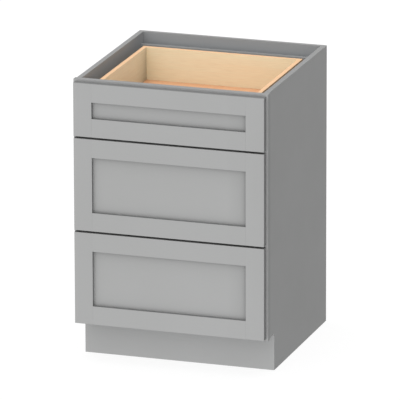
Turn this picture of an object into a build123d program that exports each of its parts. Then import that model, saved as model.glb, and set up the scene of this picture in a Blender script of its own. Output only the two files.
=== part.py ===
from build123d import *
import os

# A framed kitchen base cabinet with three drawers on telescopic slides.
# Millimetres. X runs across, Y from the front to the back, Z up.
# The origin is on the floor, at the middle of the width and of the depth.

# Case
cabinet_width = 609.6
cabinet_height = 876.3
case_depth = 600.0
frame_overhang = 4.8
side_thickness = 15.5
back_thickness = 12.7
back_rabbet = 8.0
bottom_thickness = 12.7
bottom_dado = 6.0
toe_kick_height = 114.3
toe_kick_setback = 76.2
toe_kick_thickness = 12.7
stretcher_height = 76.2
stretcher_thickness = 15.5
stretcher_drop = 33.3
stretcher_gap = 14.0

# Screw holes through the back panel, for fastening the cabinet to wall studs
wall_hole_spacing = 406.4
wall_hole_diameter = 5.5
wall_hole_drop = 30.0

# Face frame
frame_thickness = 19.05
frame_stile_width = 38.1
frame_top_rail_height = 19.05
frame_rail_height = 38.1

# Drawer fronts: five-piece shaker fronts that overlay the face frame
front_thickness = 19.05
front_reveal = 6.35
front_gap = 6.35
top_front_height = 165.1
front_member_width = 57.15
panel_thickness = 5.2
panel_recess = 11.1
panel_groove_depth = 9.5
bumper_thickness = 1.6
bumper_diameter = 9.5
bumper_inset = 16.0

# Drawer boxes: dovetailed boards with a bottom let into grooves
box_wall = 12.7
box_lift = 19.8
box_headroom = 2.4
box_rear_clearance = 56.5
box_bottom_thickness = 5.2
box_bottom_rise = 6.35
box_groove_depth = 6.35
dovetail_pitch = 28.0
dovetail_root = 11.0
dovetail_tip = 15.0

# Telescopic slides: three nested channels of folded sheet on each side of a box
slide_thickness = 12.7
slide_height = 45.5
slide_sheet = 1.2
slide_gap = 0.4
slide_setback = 2.0
slide_rise = 50.8
cabinet_channel_depth = 8.6
cabinet_channel_lip = 1.8
runner_lip = 1.4
cleat_height = 50.8

# Countersunk screws
screw_diameter = 4.0
screw_head_diameter = 7.0
screw_hole_clearance = 0.1
screw_tip_cover = 2.0
screw_recess_width = 0.9
screw_recess_span = 3.6
screw_recess_depth = 1.1
slide_screw_end_distance = 36.0
slide_screws_per_channel = 3
front_screw_tip_cover = 6.0
front_screw_side_distance = 60.0
front_screws_per_drawer = 4


def span_about(centre, size):
    """The two ends of a size laid evenly about a centre."""
    return centre - size / 2, centre + size / 2


# Planes from front to back
total_depth = front_thickness + bumper_thickness + case_depth
front_face = -total_depth / 2
front_back = front_face + front_thickness
frame_front = front_back + bumper_thickness
frame_back = frame_front + frame_thickness
toe_kick_front = frame_front + toe_kick_setback
toe_kick_back = toe_kick_front + toe_kick_thickness
case_rear = total_depth / 2
back_inner = case_rear - back_thickness
stretcher_back = back_inner - stretcher_gap
stretcher_front = stretcher_back - stretcher_thickness
box_back = stretcher_front - box_rear_clearance
slide_span = (frame_front + slide_setback, box_back)
panel_y_span = (front_face + panel_recess, front_face + panel_recess + panel_thickness)

# Planes across, on the right of the middle
frame_half = cabinet_width / 2
opening_half = frame_half - frame_stile_width
side_outer = frame_half - frame_overhang
side_inner = side_outer - side_thickness
front_half = frame_half - front_reveal
front_opening_half = front_half - front_member_width
box_half = opening_half - slide_thickness
cleat_thickness = side_inner - opening_half

# Heights of the back stretcher
stretcher_top = cabinet_height - stretcher_drop
stretcher_bottom = stretcher_top - stretcher_height

# Heights of the drawer fronts and of the face frame's rails
fronts_top = cabinet_height - front_reveal
fronts_bottom = toe_kick_height + front_reveal
deep_front_height = (fronts_top - fronts_bottom - 2 * front_gap - top_front_height) / 2
top_front = (fronts_top - top_front_height, fronts_top)
middle_front = (top_front[0] - front_gap - deep_front_height, top_front[0] - front_gap)
bottom_front = (fronts_bottom, fronts_bottom + deep_front_height)
upper_mid_rail_centre = top_front[0] - front_gap / 2
lower_mid_rail_centre = middle_front[0] - front_gap / 2
top_rail = (cabinet_height - frame_top_rail_height, cabinet_height)
upper_mid_rail = span_about(upper_mid_rail_centre, frame_rail_height)
lower_mid_rail = span_about(lower_mid_rail_centre, frame_rail_height)
bottom_rail = (toe_kick_height, toe_kick_height + frame_rail_height)

# Heights of the drawer boxes: the two deep drawers share one box height
top_box = (upper_mid_rail[1] + box_lift, top_rail[0] - box_headroom)
middle_room = upper_mid_rail[0] - lower_mid_rail[1] - box_lift - box_headroom
bottom_room = lower_mid_rail[0] - bottom_rail[1] - box_lift - box_headroom
deep_box_height = min(middle_room, bottom_room)
middle_box = (lower_mid_rail[1] + box_lift, lower_mid_rail[1] + box_lift + deep_box_height)
bottom_box = (bottom_rail[1] + box_lift, bottom_rail[1] + box_lift + deep_box_height)

drawers = {
    "top": (top_front, top_box),
    "middle": (middle_front, middle_box),
    "bottom": (bottom_front, bottom_box),
}


def board(x_span, y_span, z_span):
    """A plain board between three pairs of planes."""
    spans = (x_span, y_span, z_span)
    centre = [(low + high) / 2 for low, high in spans]
    return Pos(*centre) * Box(*[high - low for low, high in spans])


def mirrored(shape):
    """The same piece on the other side of the cabinet's middle plane."""
    return mirror(shape, about=Plane.YZ)


def slide_centre(box):
    """Height of the middle of the slides that carry a drawer box."""
    return box[0] + slide_rise


def spread(low, high, count):
    """Evenly spaced places from low to high, both ends included."""
    return [low + (high - low) * place / (count - 1) for place in range(count)]


# Screws
def screw_shape(length, clearance=0.0):
    """A countersunk screw along -Z, with the flat of its head at the origin."""
    shank = screw_diameter / 2 + clearance
    head = screw_head_diameter / 2 + clearance
    head_height = head - shank
    cone = Cone(shank, head, head_height, align=(Align.CENTER, Align.CENTER, Align.MAX))
    stem = Cylinder(shank, length + clearance, align=(Align.CENTER, Align.CENTER, Align.MAX))
    return cone + stem


def recessed_screw(length):
    """A countersunk screw with a cross recess in its head."""
    recess_align = (Align.CENTER, Align.CENTER, Align.MAX)
    bar = Box(screw_recess_span, screw_recess_width, screw_recess_depth, align=recess_align)
    return screw_shape(length) - bar - Rot(0, 0, 90) * bar


def placed(shape, point, direction):
    """A screw at a point, driven along a direction."""
    backwards = tuple(-part for part in direction)
    return Plane(origin=point, z_dir=backwards).location * shape


def drilled(piece, points, direction, length):
    """A piece with holes for screws that are driven along a direction."""
    for point in points:
        piece = piece - placed(screw_shape(length, screw_hole_clearance), point, direction)
    return piece


def screws(points, direction, length):
    """Screws of one length, driven along a direction."""
    return [placed(recessed_screw(length), point, direction) for point in points]


def slide_screw_rows(x, box):
    """Screw places along one slide channel, on the right of the cabinet."""
    first = slide_span[0] + slide_screw_end_distance
    last = slide_span[1] - slide_screw_end_distance
    return [(x, y, slide_centre(box)) for y in spread(first, last, slide_screws_per_channel)]


def front_screw_places(front, box):
    """Screw places inside a drawer box, between the groove of the front's top rail and the box's top."""
    z = (front[1] - front_member_width + panel_groove_depth + box[1]) / 2
    reach = box_half - front_screw_side_distance
    return [(x, front_back + box_wall, z) for x in spread(-reach, reach, front_screws_per_drawer)]


case_screw_length = slide_sheet + cleat_thickness - screw_tip_cover
box_screw_length = slide_sheet + box_wall - screw_tip_cover
front_screw_length = box_wall + front_thickness - front_screw_tip_cover
case_screw_x = opening_half - slide_sheet
box_screw_x = box_half + slide_sheet


# Case
def back_panel_board():
    """The back panel before its wall holes are drilled."""
    half = side_inner + back_rabbet
    return board((-half, half), (back_inner, case_rear), (0, cabinet_height))


def bottom_panel():
    """The floor of the case, flush with the top of the bottom rail and let into the sides."""
    half = side_inner + bottom_dado
    return board((-half, half), (frame_back, back_inner), (bottom_rail[1] - bottom_thickness, bottom_rail[1]))


def right_side_panel():
    """A side panel with its toe notch, its rabbet for the back and its dado for the bottom."""
    panel = board((side_inner, side_outer), (frame_back, case_rear), (0, cabinet_height))
    notch = board((side_inner, side_outer), (frame_back, toe_kick_back), (0, toe_kick_height))
    return panel - notch - back_panel_board() - bottom_panel()


def back_panel():
    """The back panel with two holes for wall screws, below the stretcher."""
    panel = back_panel_board()
    z = stretcher_bottom - wall_hole_drop
    for x in (-wall_hole_spacing / 2, wall_hole_spacing / 2):
        hole = Rot(90, 0, 0) * Cylinder(wall_hole_diameter / 2, 2 * back_thickness)
        panel = panel - Pos(x, (back_inner + case_rear) / 2, z) * hole
    return panel


def back_stretcher():
    """The board on edge that ties the sides together, a little in front of the back."""
    z_span = (stretcher_bottom, stretcher_top)
    return board((-side_inner, side_inner), (stretcher_front, stretcher_back), z_span)


def toe_kick_board():
    """The recessed board at the floor, which covers the side panels' notched edges."""
    return board((-side_outer, side_outer), (toe_kick_front, toe_kick_back), (0, toe_kick_height))


def frame_right_stile():
    """An upright of the face frame."""
    return board((opening_half, frame_half), (frame_front, frame_back), (toe_kick_height, cabinet_height))


def frame_rail(z_span):
    """A crosspiece of the face frame, between the uprights."""
    return board((-opening_half, opening_half), (frame_front, frame_back), z_span)


def right_cleat(box):
    """The wooden strip that brings a slide out to the edge of the face frame."""
    z_span = span_about(slide_centre(box), cleat_height)
    cleat = board((opening_half, side_inner), (frame_back, box_back), z_span)
    return drilled(cleat, slide_screw_rows(case_screw_x, box), (1, 0, 0), case_screw_length)


# Slides
def right_channel(folds, box):
    """A channel on the right of a box, from rectangles of its upper half.

    Each fold is the span out from the cleat and the span up from the slide's middle.
    """
    centre = slide_centre(box)
    channel = None
    for (near, far), (low, high) in folds:
        for z_span in ((centre + low, centre + high), (centre - high, centre - low)):
            sheet = board((opening_half - far, opening_half - near), slide_span, z_span)
            channel = sheet if channel is None else channel + sheet
    return channel


# The upper half of each channel's section: cabinet channel, runner between them, drawer channel
cabinet_top = slide_height / 2
runner_top = cabinet_top - slide_sheet - slide_gap
runner_step = runner_top - cabinet_channel_lip
runner_near = slide_sheet + slide_gap
runner_bend = cabinet_channel_depth - slide_sheet - slide_gap
runner_far = slide_thickness - slide_sheet - slide_gap
drawer_top = runner_step - slide_sheet - runner_lip - slide_gap
drawer_near = runner_far - 2 * slide_sheet - slide_gap

cabinet_folds = [
    ((0, slide_sheet), (0, cabinet_top)),
    ((0, cabinet_channel_depth), (cabinet_top - slide_sheet, cabinet_top)),
    ((cabinet_channel_depth - slide_sheet, cabinet_channel_depth),
     (cabinet_top - slide_sheet - cabinet_channel_lip, cabinet_top)),
]
runner_folds = [
    ((runner_near, runner_near + slide_sheet), (0, runner_top)),
    ((runner_near, runner_bend), (runner_top - slide_sheet, runner_top)),
    ((runner_bend - slide_sheet, runner_bend), (runner_step - slide_sheet, runner_top)),
    ((runner_bend - slide_sheet, runner_far), (runner_step - slide_sheet, runner_step)),
    ((runner_far - slide_sheet, runner_far), (runner_step - slide_sheet - runner_lip, runner_step)),
]
drawer_folds = [
    ((slide_thickness - slide_sheet, slide_thickness), (0, drawer_top)),
    ((drawer_near, slide_thickness), (drawer_top - slide_sheet, drawer_top)),
    ((drawer_near, drawer_near + slide_sheet),
     (drawer_top - slide_sheet, runner_step - slide_sheet - slide_gap)),
]


def right_cabinet_channel(box):
    """The channel that is screwed to the cleat."""
    places = slide_screw_rows(case_screw_x, box)
    return drilled(right_channel(cabinet_folds, box), places, (1, 0, 0), case_screw_length)


def right_drawer_channel(box):
    """The channel that is screwed to the drawer box."""
    places = slide_screw_rows(box_screw_x, box)
    return drilled(right_channel(drawer_folds, box), places, (-1, 0, 0), box_screw_length)


def right_case_screws(box):
    """The screws of one cabinet channel."""
    return screws(slide_screw_rows(case_screw_x, box), (1, 0, 0), case_screw_length)


def right_box_screws(box):
    """The screws of one drawer channel."""
    return screws(slide_screw_rows(box_screw_x, box), (-1, 0, 0), box_screw_length)


# Drawer fronts
def front_panel(front):
    """The thin recessed panel, held in grooves all round."""
    half = front_opening_half + panel_groove_depth
    low = front[0] + front_member_width - panel_groove_depth
    high = front[1] - front_member_width + panel_groove_depth
    return board((-half, half), panel_y_span, (low, high))


def front_rail(front, z_span):
    """A rail with a stub tenon at each end, grooved for the panel."""
    body = board((-front_opening_half, front_opening_half), (front_face, front_back), z_span)
    tenon_half = front_opening_half + panel_groove_depth
    tenons = board((-tenon_half, tenon_half), panel_y_span, z_span)
    return body + tenons - front_panel(front)


def front_rails(front, box):
    """The top rail, drilled for the screws from the drawer box, and the bottom rail."""
    top = front_rail(front, (front[1] - front_member_width, front[1]))
    top = drilled(top, front_screw_places(front, box), (0, -1, 0), front_screw_length)
    bottom = front_rail(front, (front[0], front[0] + front_member_width))
    return top, bottom


def front_right_stile(front):
    """A full-height stile, grooved for the panel and the rails' tenons."""
    stile = board((front_opening_half, front_half), (front_face, front_back), front)
    tenon_half = front_opening_half + panel_groove_depth
    return stile - board((-tenon_half, tenon_half), panel_y_span, front)


def bumpers(front):
    """Soft pads on the back of a front, near its corners, that meet the face frame."""
    pad = Rot(90, 0, 0) * Cylinder(bumper_diameter / 2, bumper_thickness)
    x = front_half - bumper_inset
    y = (front_back + frame_front) / 2
    heights = (front[0] + bumper_inset, front[1] - bumper_inset)
    return [Pos(side * x, y, z) * pad for side in (-1, 1) for z in heights]


# Drawer boxes
def tails(box, y_root, y_tip):
    """The row of dovetails at one end of the right side of a box."""
    height = box[1] - box[0]
    count = max(1, round(height / dovetail_pitch))
    pitch = height / count
    row = None
    for place in range(count):
        z = box[0] + pitch * (place + 0.5)
        corners = [
            (y_root, z - dovetail_root / 2),
            (y_tip, z - dovetail_tip / 2),
            (y_tip, z + dovetail_tip / 2),
            (y_root, z + dovetail_root / 2),
        ]
        face = make_face(Plane.YZ * Polyline(*corners, close=True))
        tail = Pos(box_half - box_wall, 0, 0) * extrude(face, box_wall, dir=(1, 0, 0))
        row = tail if row is None else row + tail
    return row


def box_bottom(box):
    """The thin bottom of a drawer box, held in grooves in all four walls."""
    half = box_half - box_wall + box_groove_depth
    y_span = (front_back + box_wall - box_groove_depth, box_back - box_wall + box_groove_depth)
    low = box[0] + box_bottom_rise
    return board((-half, half), y_span, (low, low + box_bottom_thickness))


def box_right_side(box):
    """The right wall of a drawer box, with dovetails at both ends."""
    y_span = (front_back + box_wall, box_back - box_wall)
    wall = board((box_half - box_wall, box_half), y_span, box)
    wall = wall + tails(box, y_span[0], front_back) + tails(box, y_span[1], box_back)
    wall = wall - box_bottom(box)
    return drilled(wall, slide_screw_rows(box_screw_x, box), (-1, 0, 0), box_screw_length)


def box_end(box, y_span, y_root, y_tip):
    """The front or back wall of a drawer box, cut for the sides' dovetails."""
    right_tails = tails(box, y_root, y_tip)
    wall = board((-box_half, box_half), y_span, box)
    return wall - right_tails - mirrored(right_tails) - box_bottom(box)


def box_front(front, box):
    """The front wall of a drawer box, drilled for the screws that hold the drawer front."""
    inner = front_back + box_wall
    wall = box_end(box, (front_back, inner), inner, front_back)
    return drilled(wall, front_screw_places(front, box), (0, -1, 0), front_screw_length)


def box_back_wall(box):
    """The back wall of a drawer box."""
    inner = box_back - box_wall
    return box_end(box, (inner, box_back), inner, box_back)


# Assembly
def both_sides(right):
    """A piece on the right and its mirror image on the left, kept as separate solids."""
    return [right, mirrored(right)]


def case_nodes():
    """Every piece that stays still, by node name."""
    side = right_side_panel()
    stile = frame_right_stile()
    boxes = [box for front, box in drawers.values()]
    cleats = [cleat for box in boxes for cleat in both_sides(right_cleat(box))]
    case_screws = [screw for box in boxes for right in right_case_screws(box) for screw in both_sides(right)]
    nodes = {
        "left_side_panel": mirrored(side),
        "right_side_panel": side,
        "back_panel": back_panel(),
        "bottom_panel": bottom_panel(),
        "back_stretcher": back_stretcher(),
        "toe_kick_board": toe_kick_board(),
        "frame_left_stile": mirrored(stile),
        "frame_right_stile": stile,
        "frame_top_rail": frame_rail(top_rail),
        "frame_upper_mid_rail": frame_rail(upper_mid_rail),
        "frame_lower_mid_rail": frame_rail(lower_mid_rail),
        "frame_bottom_rail": frame_rail(bottom_rail),
        "slide_cleats": Compound(children=cleats),
        "slide_screws": Compound(children=case_screws),
    }
    for name, (front, box) in drawers.items():
        nodes[f"{name}_slide_cabinet_channels"] = Compound(children=both_sides(right_cabinet_channel(box)))
    return nodes


def drawer_nodes(name, front, box):
    """Every piece of one drawer and its slide runners, by node name."""
    stile = front_right_stile(front)
    front_top_rail, front_bottom_rail = front_rails(front, box)
    side = box_right_side(box)
    screw_set = [screw for right in right_box_screws(box) for screw in both_sides(right)]
    screw_set += screws(front_screw_places(front, box), (0, -1, 0), front_screw_length)
    pieces = {
        "front_left_stile": mirrored(stile),
        "front_right_stile": stile,
        "front_top_rail": front_top_rail,
        "front_bottom_rail": front_bottom_rail,
        "front_panel": front_panel(front),
        "front_bumpers": Compound(children=bumpers(front)),
        "box_left_side": mirrored(side),
        "box_right_side": side,
        "box_front": box_front(front, box),
        "box_back": box_back_wall(box),
        "box_bottom": box_bottom(box),
        "drawer_screws": Compound(children=screw_set),
        "slide_drawer_channels": Compound(children=both_sides(right_drawer_channel(box))),
        "slide_runners": Compound(children=both_sides(right_channel(runner_folds, box))),
    }
    return {f"{name}_{piece}": shape for piece, shape in pieces.items()}


os.makedirs("parts", exist_ok=True)
nodes = case_nodes()
for name, (front, box) in drawers.items():
    nodes.update(drawer_nodes(name, front, box))
for name, shape in nodes.items():
    export_step(shape, f"parts/{name}.step")
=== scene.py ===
import math

import bpy
from mathutils import Matrix, Vector

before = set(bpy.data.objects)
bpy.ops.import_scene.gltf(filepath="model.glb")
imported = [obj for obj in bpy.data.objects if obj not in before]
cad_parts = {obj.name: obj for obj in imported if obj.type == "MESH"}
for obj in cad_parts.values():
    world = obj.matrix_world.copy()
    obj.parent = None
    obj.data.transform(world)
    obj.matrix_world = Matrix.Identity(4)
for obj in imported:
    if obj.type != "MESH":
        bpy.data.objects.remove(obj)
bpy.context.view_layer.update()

# Metres, in the frame of the part: X to the right, Y to the back, Z up from the floor.

# The photograph's view: a long lens, from the front right and a little above
IMAGE_SIDE = 400
CAMERA_AZIMUTH = 18.39
CAMERA_ELEVATION = 16.27
CAMERA_ROLL = -0.16
CAMERA_DISTANCE = 19.14984
CAMERA_SIGHT = 10 * CAMERA_DISTANCE
CAMERA_TARGET = Vector((-0.00086, -0.010325, 0.44895))
FOCAL_PIXELS = 6331.57
SENSOR_WIDTH = 36.0

# Light: a white tent with brighter parts, each a direction, a strength and how narrow it is
TENT_LIGHTS = (
    # In front, behind, on the left and on the right
    ((0.0, -1.0, 0.0), 1.43, 2.0),
    ((0.0, 1.0, 0.0), 0.42, 2.0),
    ((-1.0, 0.0, 0.0), 0.65, 2.0),
    ((1.0, 0.0, 0.0), 0.12, 2.0),
    # Low in front
    ((0.0, -1.0, -1.0), 0.42, 2.0),
    # Above, a wide and a narrow one
    ((0.0, 0.0, 1.0), 0.64, 2.0),
    ((0.0, 0.0, 1.0), 1.85, 8.0),
)
WHITE = (1.0, 1.0, 1.0, 1.0)

# Floor: a large square just below the part
FLOOR_SIDE = 120.0
FLOOR_DROP = 0.0005
FLOOR_TONE = (0.16, 0.16, 0.16, 1.0)
FLOOR_GLOW = 0.88

# Paint: painted shade in the recess of a drawer front, most on its right, on the edges of the fronts, on the
# upright edges of the frame and on the upper faces of the case
RECESS_REACH = 0.06
RECESS_SHADE = 0.3
RECESS_LEAN = (0.8, 0.0, 0.0)
LEVEL_EDGE_SHADE = 0.53
UPRIGHT_EDGE_SHADE = 0.62
TOP_EDGE_SHADE = 0.82
FRAME_EDGE_SHADE = 0.86

# Wood: painted shade in the inner corners of a drawer box
CORNER_REACH = 0.1
SIDE_CORNER_SHADE = 0.6
END_CORNER_SHADE = 0.05

# Shares of a noise at which its deep and its pale tone are reached
PAINT_STOPS = (0.25, 0.75)
GRAIN_STOPS = (0.32, 0.68)
PORE_STOPS = (0.3, 0.6)
CLOUD_STOPS = (0.3, 0.7)

# A face looks along an axis where its normal has more than this along it
FACING_LIMIT = 0.75
# A face looks forward where its normal has less than this along Y
FORWARD_LIMIT = -0.5

# Rays that feel for other faces around each point of a corner or gap
CAVITY_RAYS = 8

# Sockets for colours on a mix node, which come after those for numbers and vectors
MIX_FIRST = 6
MIX_SECOND = 7
MIX_RESULT = 2

# Eased edges: their width on boards and on sheet steel, and the angle in degrees from which an edge is sharp
BOARD_EASE = 0.0004
STEEL_EASE = 0.0002
EASE_STEPS = 2
SHARP_ANGLE = 35
WELD_REACH = 0.00001

# Pieces
DRAWERS = ("top", "middle", "bottom")
FRAME_PIECES = ("left_stile", "right_stile", "top_rail", "upper_mid_rail", "lower_mid_rail", "bottom_rail")
FRONT_PIECES = ("left_stile", "right_stile", "top_rail", "bottom_rail", "panel")
METAL_PIECES = ("slide_cabinet_channels", "slide_drawer_channels", "slide_runners", "drawer_screws")
DRILLED_OR_SMALL = ("back_panel", "box_front", "box_left_side", "box_right_side", "front_top_rail", "cleats",
                    "channels", "screws", "bumpers")


def srgb(red, green, blue):
    """Linear colour of display levels from 0 to 255."""
    def linear(level):
        share = level / 255
        if share <= 0.04045:
            return share / 12.92
        return ((share + 0.055) / 1.055) ** 2.4
    return (linear(red), linear(green), linear(blue), 1.0)


# Tones: a deep and a pale one for each surface
CASE_OUTSIDE = (srgb(164, 164.5, 164), srgb(167.5, 168, 168))
# Faces inside the case are painted paler and cooler, making up for the dimmer and warmer light inside it
CASE_INSIDE = (srgb(166, 168.5, 171), srgb(169.5, 172, 174.5))
# A little paler than the case, making up for the painted shade that the recess shade lays on open faces
DRAWER_FRONT = (srgb(165.5, 166, 165.5), srgb(169, 169.5, 169.5))
BOX_OUTSIDE = (srgb(210, 178, 143), srgb(224, 194, 158))
# Inside a box the maple is painted paler, making up for the shade in the box
BOX_SIDE_INSIDE = (srgb(243, 234, 206), srgb(249, 246, 222))
BOX_END_INSIDE = (srgb(253, 236, 201), srgb(253, 246, 215))
BOX_TOP_EDGE = (srgb(253, 203, 152), srgb(255, 209, 160))
BOX_BOTTOM = (srgb(228, 171, 131), srgb(238, 188, 148))
PORES = (srgb(246, 244, 241), srgb(255, 255, 255))
ZINC = (srgb(188, 190, 193), srgb(207, 208, 207))
PADS = (srgb(214, 214, 210), srgb(226, 226, 223))

# What end grain leaves of a wood's tone
END_GRAIN = srgb(222, 208, 196)


class Nodes:
    """A node tree that is built step by step."""

    def __init__(self, tree):
        self.tree = tree
        self.tree.nodes.clear()

    def add(self, kind, **values):
        """A new node with some of its properties set."""
        node = self.tree.nodes.new(kind)
        for name, value in values.items():
            setattr(node, name, value)
        return node

    def link(self, source, target):
        """Joins an output to an input."""
        self.tree.links.new(source, target)

    def feed(self, target, value):
        """Links a socket to another one, or sets it to a constant."""
        if isinstance(value, bpy.types.NodeSocket):
            self.link(value, target)
        else:
            target.default_value = value

    def math(self, operation, first, second=0.0):
        """The result of an operation on two numbers or sockets."""
        node = self.add("ShaderNodeMath", operation=operation)
        self.feed(node.inputs[0], first)
        self.feed(node.inputs[1], second)
        return node.outputs[0]

    def vector_math(self, operation, first, second=(0.0, 0.0, 0.0)):
        """The result of an operation on two vectors or sockets."""
        node = self.add("ShaderNodeVectorMath", operation=operation)
        self.feed(node.inputs[0], first)
        self.feed(node.inputs[1], second)
        return node.outputs["Value" if operation == "DOT_PRODUCT" else "Vector"]

    def show(self, output, bounced, seen):
        """Ends the tree: one node stands for the light that bounces, and another for what the camera sees.

        What it sees in a mirror or through glass counts too.
        """
        path = self.add("ShaderNodeLightPath").outputs
        direct = self.math("MAXIMUM", path["Is Camera Ray"], path["Is Glossy Ray"])
        direct = self.math("MAXIMUM", direct, path["Is Transmission Ray"])
        mix = self.add("ShaderNodeMixShader")
        self.link(direct, mix.inputs[0])
        self.link(bounced.outputs[0], mix.inputs[1])
        self.link(seen.outputs[0], mix.inputs[2])
        self.link(mix.outputs[0], self.add(output).inputs["Surface"])


class Shader(Nodes):
    """A material of the part."""

    def __init__(self, name):
        self.material = bpy.data.materials.new(name)
        self.material.use_nodes = True
        super().__init__(self.material.node_tree)
        self.surface = self.add("ShaderNodeBsdfPrincipled")
        output = self.add("ShaderNodeOutputMaterial")
        self.link(self.surface.outputs["BSDF"], output.inputs["Surface"])
        self.place = self.add("ShaderNodeTexCoord").outputs["Object"]
        self.normal = self.add("ShaderNodeNewGeometry").outputs["Normal"]

    def give(self, socket, value):
        """Links or sets a socket of the surface."""
        self.feed(self.surface.inputs[socket], value)

    def grain(self, axis, along, across):
        """The place on the part, scaled for a grain along an axis."""
        scale = [across] * 3
        scale["XYZ".index(axis)] = along
        node = self.add("ShaderNodeMapping")
        self.link(self.place, node.inputs["Vector"])
        node.inputs["Scale"].default_value = scale
        return node.outputs["Vector"]

    def noise(self, vector, scale=1.0, detail=3.0, roughness=0.5, distortion=0.0):
        """A soft noise from 0 to 1."""
        node = self.add("ShaderNodeTexNoise")
        self.link(vector, node.inputs["Vector"])
        node.inputs["Scale"].default_value = scale
        node.inputs["Detail"].default_value = detail
        node.inputs["Roughness"].default_value = roughness
        node.inputs["Distortion"].default_value = distortion
        return node.outputs["Fac"]

    def blend(self, first, second, share):
        """A share of one value and the rest of another."""
        return self.math("ADD", self.math("MULTIPLY", first, share), self.math("MULTIPLY", second, 1 - share))

    def ramp(self, value, stops, tones):
        """A colour that goes from the deep to the pale tone between two stops."""
        node = self.add("ShaderNodeValToRGB")
        self.link(value, node.inputs["Fac"])
        for element, stop, tone in zip(node.color_ramp.elements, stops, tones):
            element.position = stop
            element.color = tone
        return node.outputs["Color"]

    def spread(self, share, low, high):
        """A share from 0 to 1, laid between two values."""
        node = self.add("ShaderNodeMapRange")
        self.link(share, node.inputs["Value"])
        node.inputs["To Min"].default_value = low
        node.inputs["To Max"].default_value = high
        return node.outputs["Result"]

    def mix(self, share, first, second, blend="MIX"):
        """Two colours, with a share of the second from 0 to 1."""
        node = self.add("ShaderNodeMix", data_type="RGBA", blend_type=blend)
        self.feed(node.inputs["Factor"], share)
        self.feed(node.inputs[MIX_FIRST], first)
        self.feed(node.inputs[MIX_SECOND], second)
        return node.outputs[MIX_RESULT]

    def shaded(self, colour, shade):
        """A colour times a shade from 0 to 1."""
        grey = self.add("ShaderNodeCombineColor")
        for channel in grey.inputs:
            self.link(shade, channel)
        return self.mix(1.0, colour, grey.outputs["Color"], "MULTIPLY")

    def bump(self, height, strength, distance):
        """Roughens the surface by a height from 0 to 1."""
        node = self.add("ShaderNodeBump")
        self.link(height, node.inputs["Height"])
        node.inputs["Strength"].default_value = strength
        node.inputs["Distance"].default_value = distance
        self.give("Normal", node.outputs["Normal"])

    def cavity(self, reach, depth, lean=(0.0, 0.0, 0.0)):
        """A shade that falls below 1 where other faces are within reach, as in corners and gaps.

        A lean turns it to one side. Corners on that side then darken more, and open faces darken a little.
        """
        turned = self.vector_math("NORMALIZE", self.vector_math("ADD", self.normal, lean))
        node = self.add("ShaderNodeAmbientOcclusion", samples=CAVITY_RAYS)
        node.inputs["Distance"].default_value = reach
        self.link(turned, node.inputs["Normal"])
        return self.math("POWER", node.outputs["AO"], depth)

    def normal_along(self, axis):
        """The part of a face's normal along an axis, from -1 to 1."""
        split = self.add("ShaderNodeSeparateXYZ")
        self.link(self.normal, split.inputs[0])
        return split.outputs[axis]

    def looks_along(self, axis):
        """1 on faces that look along an axis, either way, and 0 on others."""
        return self.math("GREATER_THAN", self.math("ABSOLUTE", self.normal_along(axis)), FACING_LIMIT)

    def looks_up(self):
        """1 on faces that look up, and 0 on others."""
        return self.math("GREATER_THAN", self.normal_along("Z"), FACING_LIMIT)

    def looks_inward(self):
        """1 on faces that look towards the part's origin, and 0 on others."""
        return self.math("LESS_THAN", self.vector_math("DOT_PRODUCT", self.place, self.normal), 0.0)


def case_tone(paint, cloud):
    """Colour of the case's paint: painted paler and cooler on faces that look inwards, making up for the
    dimmer and warmer light inside, and painted shade on upper faces.
    """
    outside = paint.ramp(cloud, PAINT_STOPS, CASE_OUTSIDE)
    inside = paint.ramp(cloud, PAINT_STOPS, CASE_INSIDE)
    # Faces that look inwards get the paler, cooler tone that makes up for the light inside the case
    tone = paint.mix(paint.looks_inward(), outside, inside)
    # Painted shade on faces that look up
    return paint.shaded(tone, paint.spread(paint.looks_up(), 1.0, TOP_EDGE_SHADE))


def frame_tone(paint, cloud):
    """Colour of the face frame's paint: that of the case, with painted shade on upright edges."""
    # Painted shade on the frame's upright edges
    return paint.shaded(case_tone(paint, cloud), paint.spread(paint.looks_along("X"), 1.0, FRAME_EDGE_SHADE))


def front_tone(paint, cloud):
    """Colour of a drawer front's paint: painted shade in the recess, most on its right, and on edges."""
    # Painted shade on edges: level and upright edges each have their own depth
    edge = paint.spread(paint.looks_along("X"), LEVEL_EDGE_SHADE, UPRIGHT_EDGE_SHADE)
    painted_edge_shade = paint.math("MAXIMUM", edge, paint.looks_along("Y"))
    tone = paint.shaded(paint.ramp(cloud, PAINT_STOPS, DRAWER_FRONT), painted_edge_shade)
    # Painted shade in the recess, deepest towards the right
    recess = paint.cavity(RECESS_REACH, RECESS_SHADE, RECESS_LEAN)
    elsewhere = paint.math("GREATER_THAN", paint.normal_along("Y"), FORWARD_LIMIT)
    return paint.shaded(tone, paint.math("MAXIMUM", recess, elsewhere))


def painted_wood(name, axis, tone_of):
    """Satin grey paint: fine roller texture and a trace of the grain below it."""
    paint = Shader(name)
    cloud = paint.noise(paint.place, scale=2.3, detail=4)
    grain = paint.noise(paint.grain(axis, along=9, across=420), detail=3)
    peel = paint.noise(paint.place, scale=620, detail=2)
    sheen = paint.noise(paint.place, scale=14, detail=3)
    paint.give("Base Color", tone_of(paint, cloud))
    paint.give("Roughness", paint.spread(sheen, low=0.46, high=0.56))
    paint.give("Specular IOR Level", 0.2)
    paint.bump(paint.blend(grain, peel, share=0.6), strength=0.16, distance=0.00012)
    return paint.material


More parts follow.
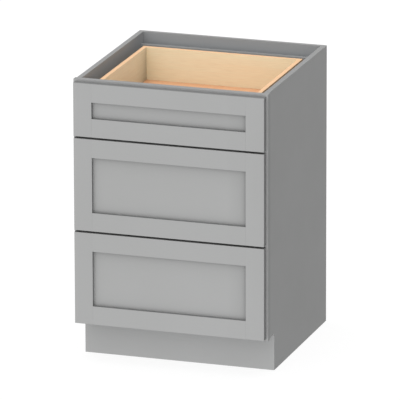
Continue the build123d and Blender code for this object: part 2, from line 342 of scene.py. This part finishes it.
def box_tone(wood, streaks, inner_tones, corner_shade):
    """Colour of a box wall: painted paler inside to make up for the shade there, with painted shade in the
    corners there, and warmer on upper edges.
    """
    outside = wood.ramp(streaks, GRAIN_STOPS, BOX_OUTSIDE)
    # Inside, the maple is painted paler to make up for the shade in the box
    inside = wood.ramp(streaks, GRAIN_STOPS, inner_tones)
    # Painted shade in the inner corners of the box
    inside = wood.shaded(inside, wood.cavity(CORNER_REACH, corner_shade))
    tone = wood.mix(wood.looks_inward(), outside, inside)
    return wood.mix(wood.looks_up(), tone, wood.ramp(streaks, GRAIN_STOPS, BOX_TOP_EDGE))


def box_side_tone(wood, streaks):
    """Colour of the sides of a box."""
    return box_tone(wood, streaks, BOX_SIDE_INSIDE, SIDE_CORNER_SHADE)


def box_end_tone(wood, streaks):
    """Colour of the front and the back of a box."""
    return box_tone(wood, streaks, BOX_END_INSIDE, END_CORNER_SHADE)


def veneer_tone(wood, streaks):
    """Colour of the bottom of a box."""
    return wood.ramp(streaks, GRAIN_STOPS, BOX_BOTTOM)


def maple(name, axis, tone_of):
    """Lacquered maple: soft clouds, faint streaks and fine pores along the grain, and darker end grain."""
    wood = Shader(name)
    wander = wood.noise(wood.grain(axis, along=2.2, across=14), detail=3)
    streak = wood.noise(wood.grain(axis, along=2.56, across=120), detail=5, roughness=0.6, distortion=0.4)
    pore = wood.noise(wood.grain(axis, along=22, across=900), detail=2)
    tone = tone_of(wood, wood.blend(wander, streak, share=0.55))
    tone = wood.mix(wood.looks_along(axis), tone, wood.mix(1.0, tone, END_GRAIN, "MULTIPLY"))
    tone = wood.mix(1.0, tone, wood.ramp(pore, PORE_STOPS, PORES), "MULTIPLY")
    wood.give("Base Color", tone)
    wood.give("Roughness", wood.spread(streak, low=0.40, high=0.52))
    wood.give("Specular IOR Level", 0.45)
    wood.bump(pore, strength=0.12, distance=0.0001)
    return wood.material


def zinc(name):
    """Bright zinc plate on folded sheet steel, with rolling marks along the length."""
    steel = Shader(name)
    cloud = steel.noise(steel.place, scale=24, detail=4)
    rolled = steel.noise(steel.grain("Y", along=6, across=1600), detail=2)
    steel.give("Base Color", steel.ramp(cloud, CLOUD_STOPS, ZINC))
    steel.give("Metallic", 1.0)
    steel.give("Roughness", steel.spread(rolled, low=0.27, high=0.42))
    steel.bump(rolled, strength=0.06, distance=0.00005)
    return steel.material


def soft_plastic(name):
    """Clear soft plastic of the bumper pads."""
    pad = Shader(name)
    cloud = pad.noise(pad.place, scale=260, detail=2)
    pad.give("Base Color", pad.ramp(cloud, CLOUD_STOPS, PADS))
    pad.give("Roughness", 0.3)
    pad.give("Transmission Weight", 0.5)
    return pad.material


def paint_node(name, material):
    """Gives a CAD node one material."""
    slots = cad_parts[name].data.materials
    slots.clear()
    slots.append(material)


def dress_case():
    """Paints the case and the face frame, with the trace of grain along each board."""
    upright = painted_wood("grey_paint_upright", "Z", case_tone)
    level = painted_wood("grey_paint_level", "X", case_tone)
    for name in ("left_side_panel", "right_side_panel", "back_panel"):
        paint_node(name, upright)
    for name in ("toe_kick_board", "bottom_panel", "back_stretcher", "slide_cleats"):
        paint_node(name, level)
    stile = painted_wood("frame_paint_upright", "Z", frame_tone)
    rail = painted_wood("frame_paint_level", "X", frame_tone)
    for piece in FRAME_PIECES:
        paint_node(f"frame_{piece}", stile if "stile" in piece else rail)


def dress_fronts():
    """Paints the drawer fronts."""
    upright = painted_wood("front_paint_upright", "Z", front_tone)
    level = painted_wood("front_paint_level", "X", front_tone)
    for drawer in DRAWERS:
        for piece in FRONT_PIECES:
            paint_node(f"{drawer}_front_{piece}", upright if "stile" in piece else level)


def dress_boxes():
    """Gives the drawer boxes their maple, with the grain along each board."""
    lengthwise = maple("maple_lengthwise", "Y", box_side_tone)
    crosswise = maple("maple_crosswise", "X", box_end_tone)
    veneer = maple("maple_veneer", "Y", veneer_tone)
    for drawer in DRAWERS:
        for piece in ("left_side", "right_side"):
            paint_node(f"{drawer}_box_{piece}", lengthwise)
        for piece in ("front", "back"):
            paint_node(f"{drawer}_box_{piece}", crosswise)
        paint_node(f"{drawer}_box_bottom", veneer)


def dress_hardware():
    """Gives the slides, screws and pads their metal and plastic."""
    plate = zinc("zinc_plate")
    pad = soft_plastic("pad_plastic")
    paint_node("slide_screws", plate)
    for drawer in DRAWERS:
        for piece in METAL_PIECES:
            paint_node(f"{drawer}_{piece}", plate)
        paint_node(f"{drawer}_front_bumpers", pad)


def ease_edges(name, width):
    """Rounds the sharp edges of a CAD node a little, as sanding or folding leaves them."""
    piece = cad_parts[name]
    weld = piece.modifiers.new("weld", "WELD")
    weld.merge_threshold = WELD_REACH
    ease = piece.modifiers.new("ease", "BEVEL")
    ease.width = width
    ease.segments = EASE_STEPS
    ease.limit_method = "ANGLE"
    ease.angle_limit = math.radians(SHARP_ANGLE)
    ease.harden_normals = True


def ease_all():
    """Eases the edges of the plain boards and of the runners; drilled and small pieces stay as cut."""
    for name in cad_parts:
        if any(word in name for word in DRILLED_OR_SMALL):
            continue
        ease_edges(name, STEEL_EASE if "runners" in name else BOARD_EASE)


def make_camera():
    """The camera at the photograph's place."""
    angles = (CAMERA_AZIMUTH, CAMERA_ELEVATION, CAMERA_ROLL)
    azimuth, elevation, roll = (math.radians(angle) for angle in angles)
    back = Vector((math.sin(azimuth) * math.cos(elevation),
                   -math.cos(azimuth) * math.cos(elevation),
                   math.sin(elevation)))
    right = Vector((math.cos(azimuth), math.sin(azimuth), 0))
    up = back.cross(right)
    rolled_right = math.cos(roll) * right + math.sin(roll) * up
    rolled_up = back.cross(rolled_right)
    camera = bpy.data.objects.new("camera", bpy.data.cameras.new("camera"))
    bpy.context.scene.collection.objects.link(camera)
    camera.data.sensor_width = SENSOR_WIDTH
    camera.data.lens = FOCAL_PIXELS / IMAGE_SIDE * SENSOR_WIDTH
    camera.data.clip_end = CAMERA_SIGHT
    place = Matrix((rolled_right, rolled_up, back)).transposed().to_4x4()
    place.translation = CAMERA_TARGET + back * CAMERA_DISTANCE
    camera.matrix_world = place
    bpy.context.scene.camera = camera


def glow_towards(tent, direction, strength, narrowness):
    """Light of the tent that is strongest from one direction and fades to nothing at its sides."""
    place = tent.add("ShaderNodeTexCoord").outputs["Generated"]
    across = tent.vector_math("DOT_PRODUCT", place, Vector(direction).normalized())
    ahead = tent.math("MAXIMUM", across, 0.0)
    return tent.math("MULTIPLY", tent.math("POWER", ahead, narrowness), strength)


def make_room():
    """The white tent around the part: white to look at, and a soft light from all sides."""
    world = bpy.data.worlds.new("tent")
    bpy.context.scene.world = world
    world.use_nodes = True
    tent = Nodes(world.node_tree)
    total = 0.0
    for direction, strength, narrowness in TENT_LIGHTS:
        total = tent.math("ADD", total, glow_towards(tent, direction, strength, narrowness))
    light = tent.add("ShaderNodeBackground")
    white = tent.add("ShaderNodeBackground")
    for background in (light, white):
        background.inputs["Color"].default_value = WHITE
    tent.link(total, light.inputs["Strength"])
    tent.show("ShaderNodeOutputWorld", light, white)


def pale_floor():
    """Material of the floor: it looks white, keeps a faint shadow and lets the light of the tent through."""
    material = bpy.data.materials.new("pale_floor")
    material.use_nodes = True
    floor = Nodes(material.node_tree)
    through = floor.add("ShaderNodeBsdfTransparent")
    shade = floor.add("ShaderNodeBsdfDiffuse")
    shade.inputs["Color"].default_value = FLOOR_TONE
    glow = floor.add("ShaderNodeEmission")
    glow.inputs["Strength"].default_value = FLOOR_GLOW
    shown = floor.add("ShaderNodeAddShader")
    floor.link(shade.outputs[0], shown.inputs[0])
    floor.link(glow.outputs[0], shown.inputs[1])
    floor.show("ShaderNodeOutputMaterial", through, shown)
    return material


def make_floor():
    """A plain square floor under the part."""
    half = FLOOR_SIDE / 2
    corners = [(x, y, -FLOOR_DROP) for x, y in ((-half, -half), (half, -half), (half, half), (-half, half))]
    mesh = bpy.data.meshes.new("floor")
    mesh.from_pydata(corners, [], [(0, 1, 2, 3)])
    floor = bpy.data.objects.new("floor", mesh)
    bpy.context.scene.collection.objects.link(floor)
    mesh.materials.append(pale_floor())


bpy.context.scene.view_settings.view_transform = "Standard"
make_camera()
make_room()
make_floor()
dress_case()
dress_fronts()
dress_boxes()
dress_hardware()
ease_all()
